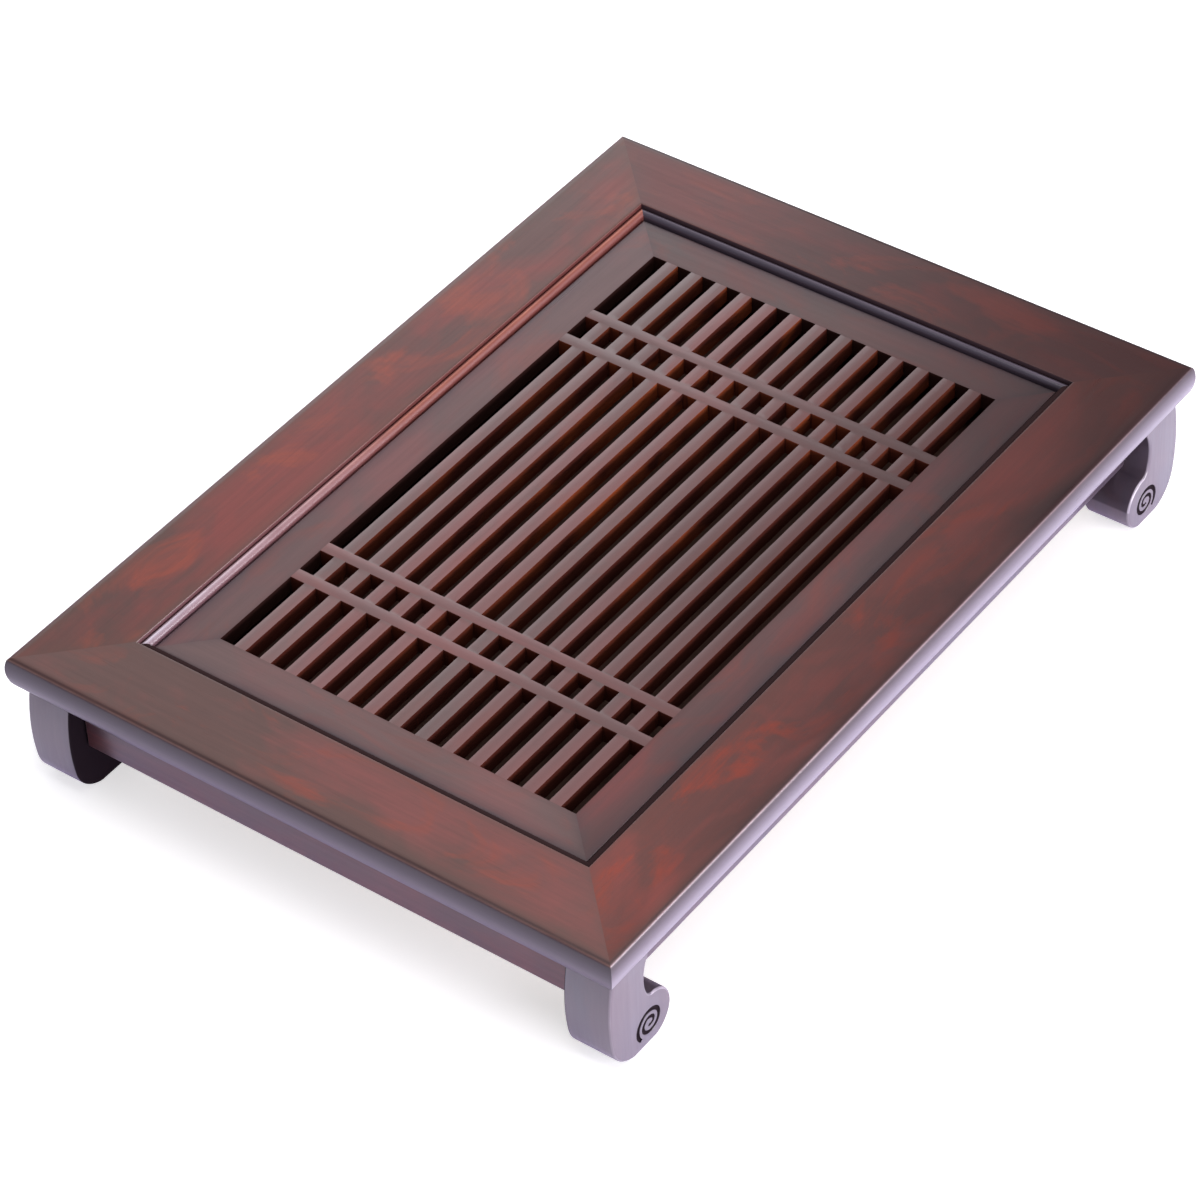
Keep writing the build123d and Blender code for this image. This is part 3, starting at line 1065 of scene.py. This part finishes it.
def lath_tones(tree, stain_and_light, cloudy, upright, colour):
    """A tone for each lath, with painted shade darkening toward the far right, and painted shade on
    the walls with painted warm light on some of them.
    """
    tone = marked(tree, "tone")
    onward = object_axis(tree, "X")
    sideways = object_axis(tree, "Y")
    colour = mixed(tree, spread(tree, tone, 0.0, 0.5, 0.55, 0.0), colour, stain_and_light["pale"])
    colour = mixed(tree, spread(tree, tone, 0.5, 1.0, 0.0, 0.6), colour, stain_and_light["red"])
    dusk = product(
        tree,
        spread(tree, sideways, *dusk_side, 0.75, 0.0),
        spread(tree, onward, *dusk_run, 0.35, 1.0),
    )
    colour = mixed(tree, dusk, colour, stain_and_light["dusk"])
    lit = product(
        tree,
        spread(tree, noise(tree, cloudy, 26.0, bend=0.5), 0.42, 0.66),
        spread(tree, tone, 0.1, 0.9, 0.25, 1.0),
        spread(tree, onward, *lit_run, 0.12, 1.0),
        spread(tree, sideways, *lit_side, 0.2, 1.0),
    )
    walls = mixed(tree, lit, stain_and_light["walls"], stain_and_light["lit walls"])
    return mixed(tree, upright, colour, walls)


def lacquer(tree, figure, smooth, dull, coat):
    """Satin gloss that drifts a little, with almost none on what is dull."""
    rough = reckon(
        tree,
        "ADD",
        spread(tree, figure["fibre"], 0.3, 0.7, -0.05, 0.06),
        spread(tree, figure["broad"], 0.3, 0.7, 0.31, 0.39),
    )
    specular, coat_rough = 0.5, 0.24
    if dull is not None:
        rough = reckon(tree, "MAXIMUM", rough, product(tree, dull, 0.85))
        coat = spread(tree, dull, 0.0, 1.0, coat, 0.0)
        specular = spread(tree, dull, 0.0, 1.0, specular, 0.08)
    elif smooth is not None:
        coat_rough = spread(tree, marked(tree, "sunk"), 0.0, 1.0, coat_rough, 0.28)
    return {
        "Roughness": rough,
        "IOR": 1.5,
        "Specular IOR Level": specular,
        "Coat Weight": coat,
        "Coat Roughness": coat_rough,
    }


def wood_relief(tree, turned, figure, smooth, strength):
    """Relief of fibres, pores and ripples, with almost none on what is smooth."""
    height = product(tree, figure["fibre"], 0.5)
    height = reckon(tree, "ADD", height, product(tree, figure["pores"], -0.6))
    ripple = noise(tree, turned, 260.0, detail=2.0)
    height = reckon(tree, "ADD", height, product(tree, ripple, 0.8))
    if smooth is not None:
        strength = spread(tree, smooth, 0.0, 1.0, strength, 0.03)
    return relief(tree, height, strength, depth=0.12 * MM)


def lacquered_wood(
    name, grain, stain_and_light, offset, patches=1.0, coat=0.7, coat_ior=1.5, relief_strength=0.22
):
    """Stained hardwood under satin lacquer: cloudy stain, fibres, pores, and rubbed edges that carry
    painted highlights too.

    The nosing and what is marked sunk are smooth. The nosing takes a painted reflection, lighter
    toward its lower edge, and sunk parts take painted shade, except on the left bead, which takes a
    painted highlight. The shade marks, the far end and the walls of laths get painted shade as well.
    Sunk parts are also dull where the colours say so, and so are the walls of laths. patches says
    how strong the orange patches are.
    """
    material, tree = new_material(name)
    turned, cloudy, fibres = grain_space(tree, grain, offset, "walls" in stain_and_light)
    figure = wood_figure(tree, cloudy, fibres)
    middling = figure["middling"]
    colour = cloudy_stain_and_edge_shade(tree, stain_and_light, figure, patches)
    # deeper stain and painted shade toward the far end
    if "far" in stain_and_light:
        along = new_node(tree, "ShaderNodeSeparateXYZ", inputs={0: turned}).outputs["X"]
        along = reckon(tree, "SUBTRACT", along, offset[0])
        colour = darker_end(tree, stain_and_light, figure, along, colour)
    smooth, dull, rub_and_highlight = None, None, stain_and_light["rubbed_and_highlit"]
    # painted reflection on the nosing, lighter toward its lower edge
    if "nosing" in stain_and_light:
        smooth = marked(tree, "nosing")
        low = spread(tree, marked(tree, "low"), 0.15, 0.85)
        nosing = mixed(tree, low, stain_and_light["nosing"], stain_and_light["nosing low"])
        colour = mixed(tree, smooth, colour, nosing)
    # painted shade on sunk parts, and a painted highlight on the left bead
    if "sunk" in stain_and_light:
        sunk = marked(tree, "sunk")
        smooth = reckon(tree, "MAXIMUM", sunk, 0.0 if smooth is None else smooth)
        tint = stain_and_light["sunk"]
        if "end run" in stain_and_light:
            reach = spread(tree, object_axis(tree, "X"), *stain_and_light["end run"])
            rub_and_highlight = mixed(tree, reach, rub_and_highlight, stain_and_light["rubbed end"])
            if "sunk end" in stain_and_light:
                tint = mixed(tree, reach, tint, stain_and_light["sunk end"])
        colour = mixed(tree, sunk, colour, tint)
        dull = sunk if stain_and_light.get("dull") else None
    # painted shade along the shade marks
    shaded = product(
        tree, marked(tree, "shade"), spread(tree, middling, 0.25, 0.6, 0.8, 1.0), 0.9
    )
    colour = mixed(tree, shaded, colour, stain_and_light["line"])
    # painted shade on the lath walls, with painted warm light on some
    if "walls" in stain_and_light:
        dull = upright_share(tree)
        colour = lath_tones(tree, stain_and_light, cloudy, dull, colour)
    # rubbed wear and painted highlights on the marked edges and crests
    rubbed_and_highlit = product(tree, marked(tree, "wear_and_highlight"), spread(tree, middling, 0.3, 0.7, 0.45, 0.95))
    if dull is not None:
        rubbed_and_highlit = product(tree, rubbed_and_highlit, spread(tree, dull, 0.0, 1.0, 1.0, 0.0))
    colour = mixed(tree, rubbed_and_highlit, colour, rub_and_highlight)
    gloss = lacquer(tree, figure, smooth, dull, coat)
    gloss["Coat IOR"] = coat_ior
    gloss["Normal"] = wood_relief(tree, turned, figure, smooth, relief_strength)
    finish_material(tree, {"Base Color": colour} | gloss)
    return material


def bare_wood(name, grain):
    """Planed, unfinished wood with fibres and faint bands."""
    material, tree = new_material(name)
    pale, deep = srgb(190, 150, 112), srgb(150, 108, 74)
    fibres = grain_space(tree, grain, (0, 0, 0))[2]
    bands = noise(tree, fibres, 90.0, rough=0.55, bend=1.0)
    fibre = noise(tree, fibres, 900.0, detail=4.0, rough=0.6)
    colour = mixed(tree, spread(tree, bands, 0.3, 0.7), pale, deep)
    colour = mixed(tree, spread(tree, fibre, 0.5, 0.8, 0.0, 0.5), colour, deep)
    finish_material(
        tree,
        {
            "Base Color": colour,
            "Roughness": spread(tree, fibre, 0.3, 0.7, 0.55, 0.7),
            "Normal": relief(tree, fibre, strength=0.3, depth=0.1 * MM),
        },
    )
    return material


def moulded_plastic(name, colour, lighter):
    """Matte moulded plastic with a fine texture and faint scuffs."""
    material, tree = new_material(name)
    place = new_node(tree, "ShaderNodeTexCoord").outputs["Object"]
    texture = noise(tree, place, 2600.0, detail=2.0)
    scuffs = noise(tree, place, 45.0, detail=5.0, rough=0.7, bend=2.0)
    finish_material(
        tree,
        {
            "Base Color": mixed(tree, spread(tree, scuffs, 0.5, 0.75, 0.0, 0.6), colour, lighter),
            "Roughness": spread(tree, scuffs, 0.3, 0.7, 0.52, 0.68),
            "Specular IOR Level": 0.25,
            "Normal": relief(tree, texture, strength=0.2, depth=0.05 * MM),
        },
    )
    return material


def coat_nodes(names, material):
    """Gives frame nodes that stay in view their finish."""
    for name in names:
        mesh = nodes[name].data
        mesh.materials.clear()
        mesh.materials.append(material)


# Stage


def place_camera(scene):
    """The camera at the photograph's angle."""
    camera = bpy.data.objects.new("camera", bpy.data.cameras.new("camera"))
    scene.collection.objects.link(camera)
    back = -Vector(camera_forward).normalized()
    right = Vector(camera_right).normalized()
    up = back.cross(right).normalized()
    turn = Matrix((right, up, back)).transposed().to_4x4()
    camera.matrix_world = Matrix.Translation(camera_place) @ turn
    camera.data.lens = camera_lens
    camera.data.sensor_width = camera_sensor
    camera.data.clip_end = 50
    scene.camera = camera


def lay_floor(scene):
    """A pale floor that takes the shadows, with a glow of its own to the eye and in gloss."""
    corners = ((-1, -1), (1, -1), (1, 1), (-1, 1))
    mesh = bpy.data.meshes.new("floor")
    mesh.from_pydata([(x * floor_reach, y * floor_reach, 0) for x, y in corners], [], [(0, 1, 2, 3)])
    floor = bpy.data.objects.new("floor", mesh)
    scene.collection.objects.link(floor)
    paper, tree = new_material("paper")
    path = new_node(tree, "ShaderNodeLightPath")
    inputs = {"Color": (0.86, 0.86, 0.87, 1)}
    both = new_node(tree, "ShaderNodeBsdfDiffuse", inputs=inputs).outputs[0]
    for ray, tint, strength in (
        ("Is Camera Ray", (1, 1, 1, 1), 0.57),
        ("Is Glossy Ray", (0.5, 0.25, 1.0, 1), 0.22),
    ):
        inputs = {"Color": tint, "Strength": product(tree, path.outputs[ray], strength)}
        glow = new_node(tree, "ShaderNodeEmission", inputs=inputs).outputs[0]
        both = new_node(tree, "ShaderNodeAddShader", inputs={0: both, 1: glow}).outputs[0]
    new_node(tree, "ShaderNodeOutputMaterial", inputs={"Surface": both})
    mesh.materials.append(paper)


def light_world(scene):
    """A soft fill from all sides that is weaker in gloss and shows as white."""
    world = bpy.data.worlds.new("studio")
    scene.world = world
    world.use_nodes = True
    tree = world.node_tree
    tree.nodes.clear()
    path = new_node(tree, "ShaderNodeLightPath")
    strength = spread(tree, path.outputs["Is Glossy Ray"], 0.0, 1.0, 0.3, 0.16)
    fill, white = (
        new_node(tree, "ShaderNodeBackground", inputs={"Color": tint, "Strength": power}).outputs[0]
        for tint, power in (((0.93, 0.92, 1.0, 1), strength), ((1, 1, 1, 1), 0.83))
    )
    inputs = {0: path.outputs["Is Camera Ray"], 1: fill, 2: white}
    shown = new_node(tree, "ShaderNodeMixShader", inputs=inputs).outputs[0]
    new_node(tree, "ShaderNodeOutputWorld", inputs={"Surface": shown})


def hang_lamps(scene):
    """Soft lamps that all point at the tray."""
    for name, place, size, power, tint in softboxes:
        lamp = bpy.data.lights.new(name, "AREA")
        lamp.shape = "RECTANGLE"
        lamp.size, lamp.size_y = size
        lamp.energy = power
        lamp.color = tint
        holder = bpy.data.objects.new(name, lamp)
        holder.location = place
        holder.rotation_mode = "QUATERNION"
        holder.rotation_quaternion = (Vector(lamp_aim) - Vector(place)).to_track_quat("-Z", "Y")
        holder.visible_diffuse = name not in gloss_lamps
        scene.collection.objects.link(holder)


# Stains, as they look on screen, with the painted shade, highlights and reflections that some of
# their colours stand for

# painted shade in quirks, creases, slot edges and just inside the upper arris
dark_line = srgb(50, 28, 30)
rail_stain_and_light = {"dark": srgb(52, 32, 31), "line": dark_line}  # what the rails share
# nosing and nosing low: painted reflection, lighter toward the lower edge; sunk: painted shade on
# the near and right beads; rubbed: wear with a painted highlight; far and fall: deeper stain and
# painted shade toward the far end
rail_stains_and_light = {
    "near": {
        "grey": srgb(102, 76, 71),
        "red": srgb(130, 77, 73),
        "orange": srgb(144, 74, 62),
        "margin": srgb(92, 71, 66),
        "nosing": srgb(46, 31, 42),
        "nosing low": srgb(70, 52, 76),
        "sunk": srgb(50, 34, 35),
        "dull": True,
        "rubbed_and_highlit": srgb(172, 132, 122),
    },
    "right": {
        "grey": srgb(112, 67, 61),
        "red": srgb(144, 68, 60),
        "orange": srgb(160, 64, 44),
        "far": srgb(58, 23, 20),
        "fall": (-0.14, 0.2, 0.82),
        "outer": srgb(40, 23, 24),
        "margin": srgb(96, 66, 60),
        "nosing": srgb(58, 44, 54),
        "nosing low": srgb(126, 116, 134),
        "sunk": srgb(50, 34, 35),
        "dull": True,
        "rubbed_and_highlit": srgb(190, 158, 164),
        # the painted highlight on the arris fades toward the far end
        "rubbed end": srgb(92, 68, 72),
        "end run": (0.06, 0.19),
    },
    "far": {
        "grey": srgb(82, 53, 50),
        "red": srgb(108, 52, 48),
        "orange": srgb(122, 56, 46),
        "far": srgb(52, 18, 18),
        "fall": (-0.06, 0.16, 0.85),
        "margin": srgb(82, 58, 55),
        "nosing": srgb(56, 42, 50),
        "nosing low": srgb(76, 62, 74),
        "sunk": srgb(58, 52, 64),
        "rubbed_and_highlit": srgb(112, 100, 114),
    },
    "left": {
        "grey": srgb(96, 62, 57),
        "red": srgb(130, 60, 54),
        "orange": srgb(148, 66, 48),
        "margin": srgb(84, 66, 58),
        "nosing": srgb(56, 42, 50),
        "nosing low": srgb(76, 62, 74),
        # the left bead: a painted highlight, lilac at the near end and warmer toward the far end
        "sunk": srgb(112, 84, 94),
        "sunk end": srgb(112, 56, 50),
        "line": srgb(90, 50, 50),
        "rubbed_and_highlit": srgb(246, 236, 250),
        "rubbed end": srgb(200, 128, 108),
        "end run": (-0.16, 0.0),
    },
}
border_stain_and_light = {  # what the border pieces share
    "dark": srgb(56, 40, 40),
    "line": dark_line,
    # painted shade along the outer edge, by the rail's bead
    "margin": srgb(54, 54, 62),
    # painted shade on the slot walls and the outer faces
    "sunk": srgb(42, 20, 17),
    "dull": True,
    "rubbed_and_highlit": srgb(160, 128, 124),
}
# far and fall: deeper stain and painted shade toward the far end
border_stains_and_light = {
    "near": {"grey": srgb(112, 88, 86), "red": srgb(128, 87, 85), "orange": srgb(136, 80, 74)},
    "right": {
        "grey": srgb(100, 72, 71),
        "red": srgb(118, 68, 67),
        "orange": srgb(134, 66, 58),
        "far": srgb(44, 30, 32),
        "fall": (0.0, 0.13, 0.6),
    },
    "far": {
        "grey": srgb(90, 70, 68),
        "red": srgb(102, 66, 64),
        "orange": srgb(114, 62, 56),
        "far": srgb(44, 32, 35),
        "fall": (0.01, 0.1, 0.6),
    },
    "left": {"grey": srgb(106, 80, 79), "red": srgb(124, 79, 78), "orange": srgb(134, 74, 66)},
}
cut_from = {  # where in the figure each side's rail is cut from
    "right": (0.31, 0.12, 0.4),
    "far": (0.05, 0.4, 0.2),
    "left": (0.9, 0.7, 0.1),
    "near": (0.6, 0.2, 0.9),
}
rail_woods, border_woods = {}, {}
for place, offset in cut_from.items():
    grain = "X" if place in ("right", "left") else "Y"
    stain_and_light = rail_stain_and_light | rail_stains_and_light[place]
    rail_woods[place] = lacquered_wood(f"{place} rail wood", grain, stain_and_light, offset)
    stain_and_light = border_stain_and_light | border_stains_and_light[place]
    border_woods[place] = lacquered_wood(
        f"{place} border wood", grain, stain_and_light, offset[::-1], patches=0.6
    )
slat_finish = lacquered_wood(
    "slat wood",
    "X",
    {
        "grey": srgb(114, 92, 91),
        "red": srgb(131, 92, 91),
        "orange": srgb(138, 80, 73),
        "pale": srgb(118, 102, 100),
        # painted shade toward the far right
        "dusk": srgb(70, 48, 47),
        "dark": srgb(74, 50, 48),
        "line": dark_line,
        "margin": srgb(96, 76, 74),
        "rubbed_and_highlit": srgb(196, 158, 156),
        # painted shade on the slot walls, and painted warm light on some of them
        "walls": srgb(62, 24, 17),
        "lit walls": srgb(130, 60, 26),
    },
    (0.4, 0.3, 0.8),
    patches=0.4,
)
# lilac-grey: the brown stain with a painted sheen of the pale floor; line is painted shade in the
# spiral's groove, rubbed a pale painted highlight
side_stain_and_sheen = {
    "grey": srgb(84, 77, 92),
    "red": srgb(90, 75, 88),
    "orange": srgb(98, 72, 82),
    "dark": srgb(74, 64, 78),
    "line": srgb(32, 24, 30),
    "margin": srgb(84, 76, 90),
    "rubbed_and_highlit": srgb(196, 186, 202),
}
foot_finish = lacquered_wood(
    "foot wood",
    "Z",
    # sunk: painted shade on the feet's hidden faces, groove and throat
    side_stain_and_sheen | {"sunk": srgb(32, 23, 30), "dull": True},
    (0.1, 0.6, 0.3),
    patches=0.3,
    coat=1.0,
    coat_ior=1.7,
    relief_strength=0.08,
)
side_finish = lacquered_wood("side board wood", "X", side_stain_and_sheen, (0.4, 0.2, 0.7), patches=0.3)
apron_finish = lacquered_wood(
    "apron wood",
    "X",
    {
        "grey": srgb(58, 42, 44),
        "red": srgb(72, 44, 44),
        "orange": srgb(84, 46, 42),
        "dark": srgb(38, 27, 28),
        "line": dark_line,
        "margin": srgb(70, 56, 58),
        "rubbed_and_highlit": srgb(140, 116, 118),
    },
    (0.9, 0.1, 0.6),
    patches=0.4,
)
front_finish = lacquered_wood(
    "drawer front wood",
    "Y",
    {
        "grey": srgb(84, 55, 63),
        "red": srgb(106, 58, 64),
        "orange": srgb(120, 58, 58),
        "dark": srgb(50, 34, 40),
        "line": dark_line,
        "margin": srgb(80, 64, 70),
        "rubbed_and_highlit": srgb(140, 116, 122),
    },
    (0.6, 0.8, 0.2),
    patches=0.5,
)
inner_wood_along = bare_wood("bare wood along", "X")
inner_wood_across = bare_wood("bare wood across", "Y")
liner_plastic = moulded_plastic("liner plastic", srgb(56, 34, 26), srgb(70, 48, 39))

# The tray and its stage

build_rails(rail_woods)
build_borders(border_woods)
build_lattice(slat_finish)
build_feet(foot_finish)
for node_name in ("apron_right", "apron_left"):
    build_board(node_name, side_finish, "tray_frame", board_edge)
build_board("apron_far", apron_finish, "tray_frame", board_edge)
drawer_sides = ["drawer_side_right", "drawer_side_left"]
build_board("drawer_front", front_finish, "drawer", front_edge, drawer_sides)
coat_nodes(["runner_right", "runner_left", *drawer_sides, "mitre_splines"], inner_wood_along)
coat_nodes(["drawer_back", "drawer_bottom"], inner_wood_across)
coat_nodes(["water_liner"], liner_plastic)

scene = bpy.context.scene
scene.view_settings.view_transform = "Standard"
place_camera(scene)
lay_floor(scene)
light_world(scene)
hang_lamps(scene)
